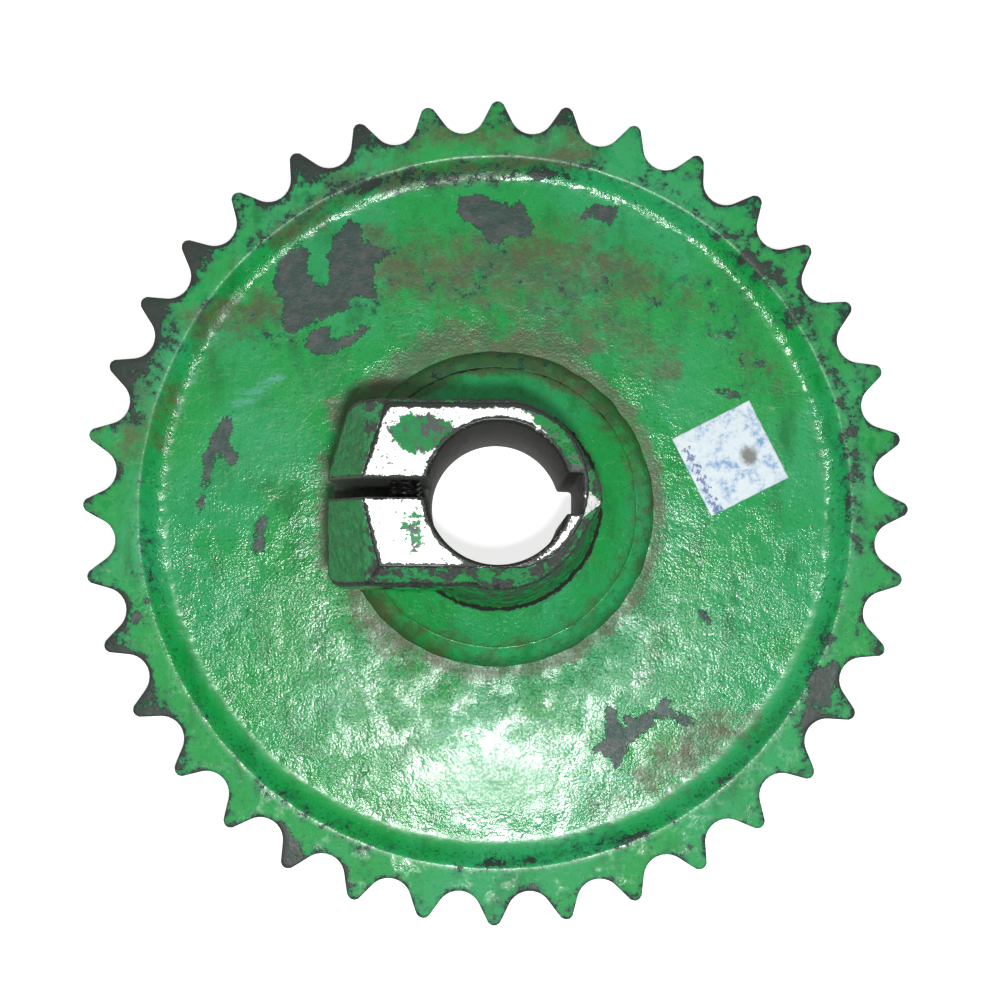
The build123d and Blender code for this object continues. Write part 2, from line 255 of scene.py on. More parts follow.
def enamel_finish(name, shine=0.5):
    """Worn green enamel on steel.

    The mesh carries these fields beside grime and rub: chip, a distance in
    millimetres that is below zero inside the bare patches; wear, how easily the
    paint flakes; peel, how grainy it is; and calm, where its gloss is worn off.
    """
    finish = Finish(name)
    coarse = finish.wobble(finish.noise(3.6, detail=7.0, roughness=0.72), 6.5)
    fine = finish.noise(0.8, detail=3.0, shift=7.0)
    chips = finish.total(finish.field("chip"), coarse, finish.wobble(fine, 2.5))
    chips = finish.step(chips, 0.12, -0.12)
    loose = finish.noise(3.6, detail=7.0, roughness=0.74, shift=31.0)
    wear = finish.field("wear")
    loose = finish.total(loose, finish.math("MULTIPLY", wear, 0.40))
    worn = finish.step(loose, 0.755, 0.775)
    bare = finish.math("MAXIMUM", chips, worn)

    paint, soiled = old_enamel(finish)
    thin = finish.step(loose, 0.62, 0.76, 0.0, 0.75)
    paint = finish.blend(thin, paint, (0.020, 0.130, 0.075))
    blot = finish.noise(3.5, detail=4.0, shift=41.0)
    steel = finish.blend(finish.step(blot, 0.42, 0.66), SCALE_STEEL, SCALE_GREY)
    streak = finish.noise(1.2, detail=4.0, stretch=(0.4, 1.6, 1.0), shift=5.0)
    steel = finish.blend(finish.step(streak, 0.62, 0.76, 0.0, 0.6), steel, SCALE_PALE)
    steel = finish.blend(finish.step(wear, 0.15, 0.7, 0.0, 0.85), steel, SOOT)
    colour = finish.blend(bare, paint, steel)

    sheen = finish.step(finish.field("peel"), 0.10, 0.55, 0.31, 0.175)
    worn_matt = finish.step(finish.noise(5.0, detail=3.0, shift=91.0), 0.50, 0.68, 0.62, 0.18)
    sheen = finish.between(finish.field("calm"), sheen, worn_matt)
    gloss = finish.between(soiled, sheen, 0.42)
    gloss = finish.between(bare, gloss, 0.46)
    gloss = finish.total(gloss, finish.step(fine, 0.3, 0.7, -0.04, 0.06))
    metallic = finish.math("MULTIPLY", bare, 0.25)

    peel = finish.noise(0.64, detail=2.0, roughness=0.55, shift=2.0)
    patchy = finish.step(finish.noise(8.0, detail=3.0, shift=27.0), 0.38, 0.62, 0.45, 1.35)
    peel = finish.math("MULTIPLY", peel, finish.math("MULTIPLY", finish.field("peel"), patchy))
    normal = finish.bump(peel, 0.19)
    normal = finish.bump(finish.noise(6.0, detail=3.0, shift=9.0), 0.25, under=normal)
    normal = finish.bump(finish.math("SUBTRACT", 1.0, bare), 0.14, under=normal)
    finish.shader.inputs["Specular IOR Level"].default_value = shine
    return finish.wear(colour, gloss, metallic, normal)


def casting_finish():
    """The hub: enamel on a rough casting, a machined front face and a dark bore.

    The mesh carries these fields beside grime and rub. face, bore and slot are 1
    on the machined front face, in the bore, keyway and slot, and in the slot
    alone; the slot is painted paler than the bore, as painted light. edge is the
    distance to the nearest darkened edge, where worn edges blacken, a dark line
    runs along the collar's foot and painted shade widens the line on the lower
    lug's side wall; patch is the distance to the paint left on the front face,
    both in millimetres. mottle is how much of the paint has rubbed off,
    painted_shade how much painted shade darkens it, most on the end bevel, and
    glaze how grainy its gloss.
    """
    finish = Finish("hub_enamel")
    coarse = finish.noise(2.0, detail=5.0, roughness=0.68)
    fine = finish.noise(0.9, detail=4.0, roughness=0.7, shift=51.0)
    face = finish.step(finish.field("face"), 0.45, 0.55)
    bore = finish.step(finish.field("bore"), 0.45, 0.55)

    paint, soiled = old_enamel(finish)
    # Painted shade: the enamel is darkened most on the end bevel, less on the lugs and collar above 30
    # mm, and faintly on the flange.
    painted_shade = finish.math("MULTIPLY", finish.step(coarse, 0.30, 0.60, 0.6, 1.0), finish.field("painted_shade"))
    paint = finish.blend(painted_shade, paint, (0.004, 0.120, 0.024))
    blot = finish.noise(4.0, detail=7.0, roughness=0.72, shift=71.0)
    rubbed = finish.total(finish.field("mottle"), finish.wobble(blot, 3.2))
    rubbed = finish.step(rubbed, 0.47, 0.57)
    scale = finish.blend(finish.step(fine, 0.45, 0.62), SOOT, (0.070, 0.070, 0.072))
    body = finish.blend(rubbed, paint, scale)
    # Dark edge lines: worn blackened edges, plus painted shade along the lower lug's side wall.
    line = finish.total(finish.field("edge"), finish.wobble(coarse, 2.6), finish.wobble(fine, 1.2))
    line = finish.step(line, 0.75, 0.45)
    body = finish.blend(line, body, (0.012, 0.016, 0.014))

    brushed = finish.noise(0.6, detail=3.0, stretch=(0.25, 2.0, 1.0), shift=1.0)
    machined = finish.blend(finish.step(brushed, 0.66, 0.78, 0.0, 0.7), BARE_STEEL, SCALE_PALE)
    left = finish.total(finish.field("patch"), finish.wobble(coarse, 6.0), finish.wobble(fine, 3.0))
    painted = finish.step(left, 0.3, -0.3)
    speck = finish.step(finish.total(fine, finish.math("MULTIPLY", coarse, 0.3)), 0.735, 0.765)
    machined = finish.blend(finish.math("MULTIPLY", speck, 0.9), machined, SOOT)
    top = finish.blend(painted, machined, finish.blend(finish.step(blot, 0.50, 0.56), paint, SCALE_GREY))
    top = finish.blend(line, top, (0.020, 0.028, 0.024))
    body = finish.blend(face, body, top)

    bore_rust_and_slot_light = finish.blend(finish.noise(2.5, detail=5.0, shift=61.0), BORE_BROWN, BORE_BLACK)
    # Painted light: the slot is given a paler grey-green than the bore so its unlit floor reads as lit.
    bore_rust_and_slot_light = finish.blend(finish.field("slot"), bore_rust_and_slot_light, (0.090, 0.105, 0.085))
    colour = finish.blend(bore, body, bore_rust_and_slot_light)

    clean = finish.math("SUBTRACT", 1.0, finish.math("MAXIMUM", painted, line))
    bright = finish.math("MULTIPLY", face, clean)
    gloss = finish.between(soiled, 0.24, 0.50)
    gloss = finish.between(rubbed, gloss, 0.48)
    gloss = finish.between(bright, gloss, 0.38)
    gloss = finish.between(bore, gloss, 0.75)
    glaze = finish.field("glaze")
    gloss = finish.between(glaze, gloss, 0.15)
    metallic = finish.math("MULTIPLY", bright, 0.75)

    casting = finish.noise(1.5, detail=4.0, roughness=0.6, shift=2.0)
    casting = finish.math("MULTIPLY", casting, finish.math("SUBTRACT", 1.0, face))
    normal = finish.bump(casting, 0.55)
    peel = finish.noise(0.7, detail=2.0, shift=81.0)
    normal = finish.bump(finish.math("MULTIPLY", peel, glaze), 0.50, under=normal)
    finish.shader.inputs["Specular IOR Level"].default_value = 0.30
    worn_low = finish.math("MAXIMUM", rubbed, line)
    normal = finish.bump(finish.math("SUBTRACT", 1.0, worn_low), 0.10, under=normal)
    grooves = finish.noise(0.45, detail=2.0, stretch=(0.3, 2.0, 1.0), shift=13.0)
    normal = finish.bump(finish.math("MULTIPLY", grooves, face), 0.015, under=normal)
    return finish.wear(colour, gloss, metallic, normal)


def steel_finish(name, dark, pale, roughness):
    """Dull steel with worn, paler high spots."""
    finish = Finish(name)
    stain = finish.noise(1.8, detail=5.0, roughness=0.65)
    colour = finish.blend(finish.step(stain, 0.45, 0.75), dark, pale)
    grain = finish.noise(0.3, detail=2.0, stretch=(1.0, 0.2, 1.0), shift=4.0)
    gloss = finish.step(stain, 0.3, 0.8, roughness, roughness + 0.2)
    normal = finish.bump(grain, 0.01)
    normal = finish.bump(stain, 0.04, under=normal)
    return finish.wear(colour, gloss, 0.8, normal)


def label_finish():
    """Pale foil with soft blue clouds, small blue tiles down one side and a smudge."""
    finish = Finish("label_foil")
    cloud = finish.noise(2.8, detail=5.0, roughness=0.66, shift=8.0)
    colour = finish.blend(finish.step(cloud, 0.46, 0.70), (0.82, 0.93, 0.98), (0.22, 0.42, 0.72))
    fleck = finish.noise(1.3, detail=3.0, shift=15.0)
    colour = finish.blend(finish.step(fleck, 0.55, 0.70, 0.0, 0.7), colour, (0.84, 0.85, 0.84))
    tiles = finish.step(finish.field("tiles"), 0.45, 0.55, 0.0, 0.8)
    torn = finish.step(finish.noise(1.0, detail=4.0, shift=25.0), 0.40, 0.52)
    colour = finish.blend(finish.math("MULTIPLY", tiles, torn), colour, (0.07, 0.12, 0.36))
    blur = finish.noise(1.4, detail=5.0, roughness=0.7, shift=35.0)
    smudge = finish.total(finish.field("smudge"), finish.wobble(blur, 3.0))
    smudge = finish.step(smudge, 1.1, -0.9, 0.0, 0.85)
    colour = finish.blend(smudge, colour, (0.16, 0.16, 0.13))
    gloss = finish.between(smudge, finish.step(fleck, 0.3, 0.7, 0.22, 0.42), 0.7)
    normal = finish.bump(finish.noise(0.8, detail=2.0, shift=45.0), 0.012)
    normal = finish.bump(cloud, 0.06, under=normal)
    return finish.wear(colour, gloss, 0.0, normal)


# ---------------------------------------------------------------- worn places


# Bare patches on the plate: listed outlines, in plan millimetres.
BARE_PATCHES = [
    [
        (-59.5, 68), (-57, 70.5), (-54, 72), (-51.5, 69.5), (-52, 64.5), (-50.5, 61.5), (-46.5, 61.5),
        (-45.5, 65), (-46.5, 69.5), (-45.5, 74), (-40.5, 79.5), (-37, 77.5), (-37, 74), (-33, 72),
        (-31, 69.5), (-33.5, 67), (-33.5, 57.5), (-40, 58.5), (-40.5, 54), (-46, 53), (-51, 50.5),
        (-56, 47.5), (-58.5, 49.5), (-58.5, 56.5), (-61.5, 60.5),
    ],
    [
        (-51.5, 48.5), (-45, 49.5), (-45.5, 47), (-43.5, 46), (-37.5, 49), (-33, 51.5), (-35.5, 48),
        (-42, 43.5), (-48, 42), (-51.5, 42.5), (-52.5, 44.5),
    ],
    [
        (-11, 86), (-4.5, 86.5), (0.5, 84.5), (3.5, 83.5), (6, 84.5), (8, 83.5), (9.5, 79), (9.5, 75.5),
        (8, 74.5), (3.5, 75.5), (0.5, 73), (-2.5, 73), (-4, 76), (-8.5, 79), (-11, 81),
    ],
    [(23, 82), (27.5, 84), (33, 83.5), (33, 81), (31, 78), (30, 79), (27, 80.5), (23.5, 80.5)],
    [
        (30, -54), (32, -54), (33.5, -55.5), (33.5, -57.5), (35, -58.5), (35.5, -56.5), (39, -56.5),
        (41, -54.5), (44, -54.5), (45.5, -52), (46.5, -52), (47.5, -54.5), (50.5, -55), (53, -56),
        (53.5, -58), (51, -58.5), (48, -57.5), (46.5, -56), (43, -57.5), (41.5, -60), (39, -61.5),
        (36.5, -64), (34, -69), (33, -70.5), (32, -68.5), (29, -65.5), (27, -66.5), (26, -64.5),
        (28.5, -63), (30, -62), (30, -58),
    ],
]
# Smaller bare places: (x, y, x, y, half width).
BARE_STROKES = [
    (-63.6, -4.0, -64.2, -11.0, 1.4),
    (-73.5, 22.5, -78.0, 14.0, 1.8),
    (-78.0, 13.0, -79.5, 6.0, 0.9),
    (-75.0, 18.0, -72.0, 13.0, 1.5),
    (-80.0, 3.0, -80.3, -1.0, 0.7),
    (88.5, -45.5, 86.0, -57.0, 3.4),
    (91.5, -42.5, 88.0, -48.0, 2.0),
    (-57.5, -87.5, -53.0, -94.0, 2.4),
    (-2.5, -95.4, 2.5, -95.2, 0.6),
    (7.5, -95.0, 10.5, -94.6, 0.6),
    (35.0, -89.5, 40.0, -87.5, 0.3),
    (60.5, -73.5, 62.0, -72.5, 0.6),
    (9.0, 93.0, 20.0, 91.5, 0.6),
    (-41.0, 86.5, -33.0, 89.5, 0.8),
    (-28.0, 91.5, -20.0, 93.0, 0.3),
    (50.5, 84.5, 55.0, 81.0, 0.4),
    (78.5, 53.0, 80.0, 50.0, 0.5),
    (94.0, 20.0, 95.0, 15.0, 0.3),
    (95.5, 3.0, 95.2, -3.0, 0.5),
    (56.5, -29.0, 58.0, -30.5, 0.9),
    (-34.5, -71.0, -35.2, -72.0, 0.6),
    (66.0, 31.0, 61.0, 33.0, 0.8),
    (29.5, 63.0, 30.5, 62.0, 0.8),
    (72.5, 39.5, 73.0, 37.5, 0.7),
    (-96.5, -29.5, -97.0, -31.0, 1.0),
    (-99.0, 27.0, -98.0, 24.5, 0.8),
    (-101.6, 11.5, -102.0, 8.0, 0.8),
]
# How far the paint has gone from each tooth, by the tooth's angle in degrees.
TOOTH_WEAR = {
    0: 0.45, 10: 0.42, 20: 0.50, 30: 0.42, 40: 0.45, 50: 0.45, 60: 0.45, 80: 0.55, 90: 0.35,
    100: 0.40, 110: 0.80, 120: 0.85, 130: 0.60, 140: 0.95, 150: 1.10, 160: 1.05, 170: 0.25,
    180: 0.30, 200: 0.65, 210: 0.70, 220: 0.50, 240: 0.70, 250: 0.55, 270: 0.35, 280: 0.35,
    300: 0.35, 320: 0.40, 330: 0.50, 340: 0.40, 350: 0.42,
}
# Islands of paint left inside the bare places: (x, y, radius).
PAINT_ISLANDS = [(-48.4, 64.4, 2.4), (86.6, -53.4, 1.1), (-50.8, 67.5, 1.3)]

# Brown dirt: (x, y, x, y, half width, strength).
DIRT_STROKES = [
    (-44.0, 10.0, -44.0, -14.0, 5.0, 0.95),
    (-42.0, 26.0, -14.0, 46.0, 5.0, 0.95),
    (-14.0, 46.0, 24.0, 45.0, 6.0, 0.85),
    (-26.0, 66.0, 24.0, 68.0, 11.0, 0.80),
    (-6.0, 58.0, 34.0, 52.0, 8.0, 0.60),
    (18.0, 72.0, 40.0, 62.0, 8.0, 0.75),
    (-34.0, 76.0, -20.0, 60.0, 5.0, 0.75),
    (-80.0, 50.0, -62.0, 54.0, 6.5, 0.80),
    (-60.0, 74.0, -44.0, 84.0, 4.0, 0.70),
    (-44.0, 88.0, 24.0, 97.0, 3.5, 0.85),
    (-36.0, 102.0, 30.0, 103.0, 5.0, 0.65),
    (44.0, -72.0, 58.0, -60.0, 7.5, 0.75),
    (48.0, -74.0, 70.0, -58.0, 4.5, 0.60),
    (-38.0, -26.0, -24.0, -40.0, 4.5, 0.80),
    (28.0, 54.0, 46.0, 38.0, 8.0, 0.65),
    (40.0, 68.0, 54.0, 56.0, 7.0, 0.45),
    (60.0, 52.0, 76.0, 36.0, 6.0, 0.40),
    (-88.0, 34.0, -92.0, 18.0, 4.0, 0.60),
    (-96.0, 40.0, -100.0, 14.0, 5.0, 0.65),
    (20.0, -84.0, 44.0, -76.0, 4.0, 0.35),
]

# Pale scuffs: (x, y, x, y, half width, strength).
SCUFF_STROKES = [
    (-74.0, 25.0, -60.0, 36.0, 3.0, 0.90),
    (-78.0, 41.0, -70.0, 34.0, 4.0, 0.55),
    (-72.0, 8.0, -60.0, 24.0, 4.0, 0.45),
    (-52.0, 28.0, -44.0, 38.0, 3.0, 0.50),
    (-86.0, 26.0, -82.0, 38.0, 2.5, 0.60),
    (-64.0, -8.0, -70.0, -30.0, 5.0, 0.35),
    (-60.0, 62.0, -58.0, 70.0, 2.0, 0.45),
    (-56.0, 49.0, -52.0, 53.0, 2.5, 0.80),
    (46.0, 30.0, 50.0, 18.0, 2.0, 0.50),
    (62.0, -6.0, 80.0, -30.0, 7.0, 0.30),
    (-20.0, -60.0, 30.0, -72.0, 14.0, 0.65),
    (-60.0, -40.0, -20.0, -58.0, 12.0, 0.55),
    (30.0, -40.0, 60.0, -50.0, 9.0, 0.50),
    (-30.0, 86.0, 20.0, 91.0, 1.6, 0.50),
    (40.0, 80.0, 74.0, 52.0, 1.6, 0.50),
]

# Places where the paint flakes off in specks: (x, y, x, y, half width, strength).
FLAKE_STROKES = [
    (68.0, 69.5, 76.0, 64.0, 3.2, 0.82),
    (40.0, 90.0, 66.0, 74.0, 3.5, 0.50),
    (66.0, 74.0, 84.0, 52.0, 4.5, 0.62),
    (84.0, 52.0, 96.0, 26.0, 4.0, 0.54),
    (96.0, 26.0, 98.0, -10.0, 3.6, 0.56),
    (89.0, -36.0, 84.0, -60.0, 4.0, 0.55),
    (-44.0, 88.0, 28.0, 94.0, 3.0, 0.60),
    (-66.0, 72.0, -44.0, 88.0, 3.0, 0.50),
    (-98.0, 24.0, -88.0, 48.0, 4.0, 0.55),
    (-92.0, -30.0, -96.0, -8.0, 3.5, 0.45),
    (-8.0, -97.0, 42.0, -88.0, 3.0, 0.48),
    (-62.0, -76.0, -34.0, -92.0, 3.5, 0.45),
    (-30.0, 64.0, 40.0, 60.0, 14.0, 0.34),
    (60.0, 60.0, 70.0, 38.0, 8.0, 0.34),
    (-62.0, 48.0, -34.0, 58.0, 7.0, 0.38),
]


def stroke_distance(x, y, stroke):
    """Distance from each point to a straight stroke's middle line."""
    ax, ay, bx, by = stroke[:4]
    dx, dy = bx - ax, by - ay
    along = np.clip(((x - ax) * dx + (y - ay) * dy) / (dx * dx + dy * dy), 0, 1)
    return np.hypot(x - ax - along * dx, y - ay - along * dy)


def patch_distance(x, y, outline):
    """Signed distance from each point to a closed outline, below zero inside."""
    nearest = np.full(x.shape, 1e9)
    inside = np.zeros(x.shape, bool)
    for (ax, ay), (bx, by) in zip(outline, outline[1:] + outline[:1]):
        nearest = np.minimum(nearest, stroke_distance(x, y, (ax, ay, bx, by)))
        crosses = (ay > y) != (by > y)
        rise = by - ay if by != ay else 1e-9
        inside ^= crosses & (x < (bx - ax) * (y - ay) / rise + ax)
    return np.where(inside, -nearest, nearest)


def bare_distance(x, y):
    """Signed distance to the nearest bare place on the plate."""
    distance = np.full(x.shape, 1e3)
    for outline in BARE_PATCHES:
        distance = np.minimum(distance, patch_distance(x, y, outline))
    for stroke in BARE_STROKES:
        distance = np.minimum(distance, stroke_distance(x, y, stroke) - stroke[4])
    for ix, iy, radius in PAINT_ISLANDS:
        distance = np.maximum(distance, radius - np.hypot(x - ix, y - iy))
    return distance


def bump_share(distance, width):
    """Fall smoothly from 1 at distance 0 to 0 at twice the width."""
    share = np.clip(1 - distance / (2 * width), 0, 1)
    return share * share * (3 - 2 * share)


def stroke_share(x, y, strokes):
    """The strongest of the strokes at each point, from 0 to 1."""
    share = np.zeros(x.shape)
    for stroke in strokes:
        near = bump_share(stroke_distance(x, y, stroke), stroke[4])
        share = np.maximum(share, stroke[5] * near)
    return share


# ---------------------------------------------------------------- mesh helpers


def new_piece(name, points, faces, finish, smooth=True):
    """Make a mesh object from points in millimetres."""
    mesh = bpy.data.meshes.new(name)
    mesh.from_pydata((np.asarray(points, float) * MM).tolist(), [], faces)
    mesh.materials.append(finish)
    mesh.update()
    if smooth:
        mesh.polygons.foreach_set("use_smooth", [True] * len(mesh.polygons))
    piece = bpy.data.objects.new(name, mesh)
    bpy.context.scene.collection.objects.link(piece)
    return piece


def add_field(piece, name, values):
    """Store one number per vertex for the material to read."""
    field = piece.data.attributes.new(name, "FLOAT", "POINT")
    field.data.foreach_set("value", np.asarray(values, np.float32))


def add_even_fields(piece, **values):
    """Store the same number at every vertex, one field for each name given."""
    for name, value in values.items():
        add_field(piece, name, np.full(len(piece.data.vertices), value))


def ripple(points, size, shift=0.0):
    """Smooth noise between about -1 and 1 at each point."""
    offset = Vector((shift, shift, shift))
    return np.array([noise.noise(Vector(point) / size + offset) for point in points])


def ring_faces(rows, columns, wrap=False, flip=False):
    """Quads between rows of points that go round a ring; wrap joins last to first."""
    faces = []
    for row in range(rows if wrap else rows - 1):
        base, above = row * columns, (row + 1) % rows * columns
        for column in range(columns):
            following = (column + 1) % columns
            quad = (base + column, base + following, above + following, above + column)
            faces.append(quad[::-1] if flip else quad)
    return faces


# ---------------------------------------------------------------- the plate


def half_tooth():
    """Points across and along one half of a tooth, from its tip to the root."""
    seat_x = PITCH_RADIUS * sin(TOOTH_ANGLE / 2)
    seat_y = PITCH_RADIUS * cos(TOOTH_ANGLE / 2)
    flank_x = seat_x - SEAT_RADIUS * cos(FLANK_ANGLE)
    flank_y = seat_y - SEAT_RADIUS * sin(FLANK_ANGLE)
    points = [(0.0, TIP_RADIUS), (0.55, TIP_RADIUS - 0.06), (1.0, TIP_RADIUS - 0.32)]
    for share in (0.86, 0.68, 0.5, 0.32, 0.14, 0.0):
        along = flank_y + share * (TIP_RADIUS - flank_y)
        points.append((flank_x - tan(FLANK_ANGLE) * (along - flank_y), along))
    half_gap = pi / 2 - TOOTH_ANGLE / 2
    for share in (0.18, 0.36, 0.56, 0.78, 1.0):
        turn = FLANK_ANGLE + share * (half_gap - FLANK_ANGLE)
        points.append((seat_x - SEAT_RADIUS * cos(turn), seat_y - SEAT_RADIUS * sin(turn)))
    return points


def toothed_outline():
    """Angle and radius of every outline point, with each tooth worn its own way."""
    half = half_tooth()
    profile = [(-across, along) for across, along in half[-2:0:-1]] + half
    angles = []
    radii = []
    for tooth in range(TOOTH_COUNT):
        cut = RANDOM.uniform(0.0, 0.45)
        lean = RANDOM.normal(0.0, 0.22)
        for across, along in profile:
            height = np.clip((along - 104.5) / (TIP_RADIUS - 104.5), 0, 1)
            along -= cut * height**3
            across += lean * height**2
            angles.append(tooth * TOOTH_ANGLE - atan2(across, along))
            radii.append(np.hypot(across, along))
    order = np.argsort(np.mod(angles, 2 * pi))
    return np.mod(angles, 2 * pi)[order], np.array(radii)[order]


def step_height(radius, edge, depth):
    """Height of the web and the step above the web's floor, up to the rim."""
    foot = edge - depth / tan(STEP_ANGLE)
    tangent = STEP_FILLET * tan(STEP_ANGLE / 2)
    start = foot - tangent
    end = foot + tangent * cos(STEP_ANGLE)
    curve = STEP_FILLET - np.sqrt(np.maximum(STEP_FILLET**2 - (radius - start) ** 2, 0))
    slope = (radius - foot) * tan(STEP_ANGLE)
    height = np.where(radius < start, 0, np.where(radius < end, curve, slope))
    soft = 0.32
    over = height - depth
    return depth + 0.5 * (over - np.sqrt(over**2 + soft**2))


def ring_ripple(angles, waves, shift):
    """Smooth noise round a ring, with more and shorter waves as waves grows."""
    return ripple([(cos(angle) * waves, sin(angle) * waves, 0) for angle in angles], 1.0, shift)


def plate_side(outer, wander, side, recess):
    """Radius and height of the rings on one side of the plate, from hole to rim."""
    columns = len(outer)
    web_rings = np.concatenate([np.linspace(HOLE_RADIUS, 88.5, 40), np.linspace(89.4, 97.4, 17)])
    rim_rings = (98.4, 99.6)
    edge_inset = 1.0
    edge_round = ((0.5, 0.05), (0.2, 0.16), (0.0, 0.42))
    skin = []
    for ring in web_rings:
        radius = np.full(columns, ring)
        edge = STEP_RADIUS + wander * (1 if side > 0 else 0.4)
        skin.append((radius, step_height(radius, edge, recess) - recess))
    for ring in rim_rings:
        skin.append((np.full(columns, ring), np.zeros(columns)))
    for share in (0.3, 0.6, 1.0):
        radius = rim_rings[-1] + share * (outer - edge_inset - rim_rings[-1])
        skin.append((radius, np.zeros(columns)))
    for inset, drop in edge_round:
        skin.append((outer - inset, np.full(columns, -drop)))
    level = TOOTH_WIDTH if side > 0 else 0.0
    return [(radius, level + side * height) for radius, height in skin]


def plate_relief(points, radius, reach):
    """How far hand work and paint lift each point of the plate's front."""
    x, y = points[:, 0], points[:, 1]
    swell = ripple(points, 14.0, 2.0) * 0.07 + ripple(points, 5.0, 8.0) * 0.04
    swell *= 1 - 0.5 * bump_share(np.hypot(x / 42, (y + 70) / 19), 0.60)
    uneven = np.where(y < -30, 0.05, 0.17)
    lumps = ripple(points, 2.6, 12.0) * uneven * bump_share(np.abs(radius - FILLET_RADIUS), 2.2)
    swell *= np.where(radius < STEP_RADIUS - 5, 1.0, 0.45) * np.clip(reach / 2, 0, 1)
    return swell + lumps - 0.05


def plate_grime(x, y, radius, reach):
    """Brown dirt in strokes and round the weld bead, and darker along the teeth's edges."""
    weld_ring = 0.85 * bump_share(np.abs(radius - 44.4), 2.6)
    grime = np.maximum(stroke_share(x, y, DIRT_STROKES), weld_ring)
    return np.maximum(grime, 0.55 * np.clip(1 - reach / 2.5, 0, 1))


def plate_wear(x, y, radius, reach):
    """How easily the paint flakes: on worn teeth, at edges and along the step."""
    around = np.mod(np.arctan2(y, x), 2 * pi)
    teeth = [360 / TOOTH_COUNT * index for index in range(TOOTH_COUNT + 1)]
    amounts = [TOOTH_WEAR.get(round(tooth) % 360, 0.22) for tooth in teeth]
    tooth_wear = np.interp(np.degrees(around), teeth, amounts)
    near_edge = np.clip(1 - reach / 3.0, 0, 1)
    on_tooth = np.clip((radius - 98.5) / 7.0, 0, 1)
    luck = ring_ripple(around, 7, 3.0)
    wear = tooth_wear * (0.82 * on_tooth + 0.12 * near_edge) + 0.40 * near_edge * (1 + luck)
    wear = np.maximum(wear, 0.34 * bump_share(np.abs(radius - STEP_RADIUS), 2.2))
    wear = np.maximum(wear, stroke_share(x, y, FLAKE_STROKES))
    return np.clip(wear, 0, 1.2)


def plate_peel(x, y, radius):
    """How grainy the paint is: most below the hub, least in one smooth pool."""
    below = np.clip((30 - y) / 60, 0.30, 1)
    smooth_pool = bump_share(np.hypot(x / 42, (y + 74) / 19), 0.60)
    sag = bump_share(np.abs(radius - FILLET_RADIUS), 1.8) * np.where(y < 0, 0.90, 0.50)
    sag = np.maximum(sag, 0.7 * bump_share(np.abs(radius - 97.0), 0.9))
    near_bead = 0.45 * bump_share(np.abs(radius - 49.0), 4.5)
    peel = (below + near_bead) * (1 - 0.88 * smooth_pool) * (1 - sag)
    return np.maximum(peel, 0.85 * bump_share(np.abs(radius - 92.5), 1.9) * (y > -25))


def make_plate():
    """The toothed rim and web, as one closed skin with fields of wear on it."""
    angles, outer = toothed_outline()
    columns = len(angles)
    wander = ring_ripple(angles, 4, 5.0) * 0.35
    wander += ring_ripple(angles, 12, 9.0) * 0.22
    rows = plate_side(outer, wander, 1, TOOTH_WIDTH - WEB_FRONT)
    rows += plate_side(outer, wander, -1, WEB_BACK)[::-1]
    points = []
    for ring, height in rows:
        points.append(np.stack([np.cos(angles) * ring, np.sin(angles) * ring, height], axis=1))
    points = np.concatenate(points)
    x, y, z = points.T
    radius = np.hypot(x, y)
    reach = np.tile(outer, len(rows)) - radius
    front = z > TOOTH_WIDTH / 2
    points[:, 2] += np.where(front, plate_relief(points, radius, reach), 0.0)
    side_wall = (z > 0.45) & (z < TOOTH_WIDTH - 0.45) & (reach < 0.5)

    faces = ring_faces(len(rows), columns, wrap=True)
    plate = new_piece("toothed_plate", points, faces, enamel_finish("plate_enamel"))
    away = np.where(front, bare_distance(x, y), bare_distance(-y, x) + 0.8)
    # Painted sheen: the step wall is made paler through rub, standing in for the glossy light it catches.
    step_sheen = bump_share(np.abs(radius - 94.0), 1.6)
    rub = np.maximum(stroke_share(x, y, SCUFF_STROKES), 0.40 * step_sheen) * front
    calm = np.clip(radius - 97.0, 0, 1)
    add_field(plate, "chip", np.clip(away, -6, 12))
    add_field(plate, "grime", np.where(front, plate_grime(x, y, radius, reach), 0.35))
    add_field(plate, "rub", rub - 0.25)
    add_field(plate, "wear", np.where(side_wall, 0.9, plate_wear(x, y, radius, reach)))
    add_field(plate, "peel", plate_peel(x, y, radius) * (1 - 0.75 * calm))
    add_field(plate, "calm", calm)
    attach(plate, "sprocket")
    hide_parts("sprocket_plate")


# ---------------------------------------------------------------- the hub


def remeshed(source, name, voxel):
    """Copy a CAD node as an even mesh of small quads."""
    copy = bpy.data.objects.new(name, source.data.copy())
    bpy.context.scene.collection.objects.link(copy)
    welded = bmesh.new()
    welded.from_mesh(copy.data)
    bmesh.ops.remove_doubles(welded, verts=welded.verts, dist=0.002 * MM)
    welded.to_mesh(copy.data)
    welded.free()
    modifier = copy.modifiers.new("even", "REMESH")
    modifier.mode = "VOXEL"
    modifier.voxel_size = voxel * MM
    soften = copy.modifiers.new("soften", "SMOOTH")
    soften.factor = 0.5
    soften.iterations = 3
    graph = bpy.context.evaluated_depsgraph_get()
    mesh = bpy.data.meshes.new_from_object(copy.evaluated_get(graph))
    mesh.name = name
    copy.modifiers.clear()
    copy.data = mesh
    return copy


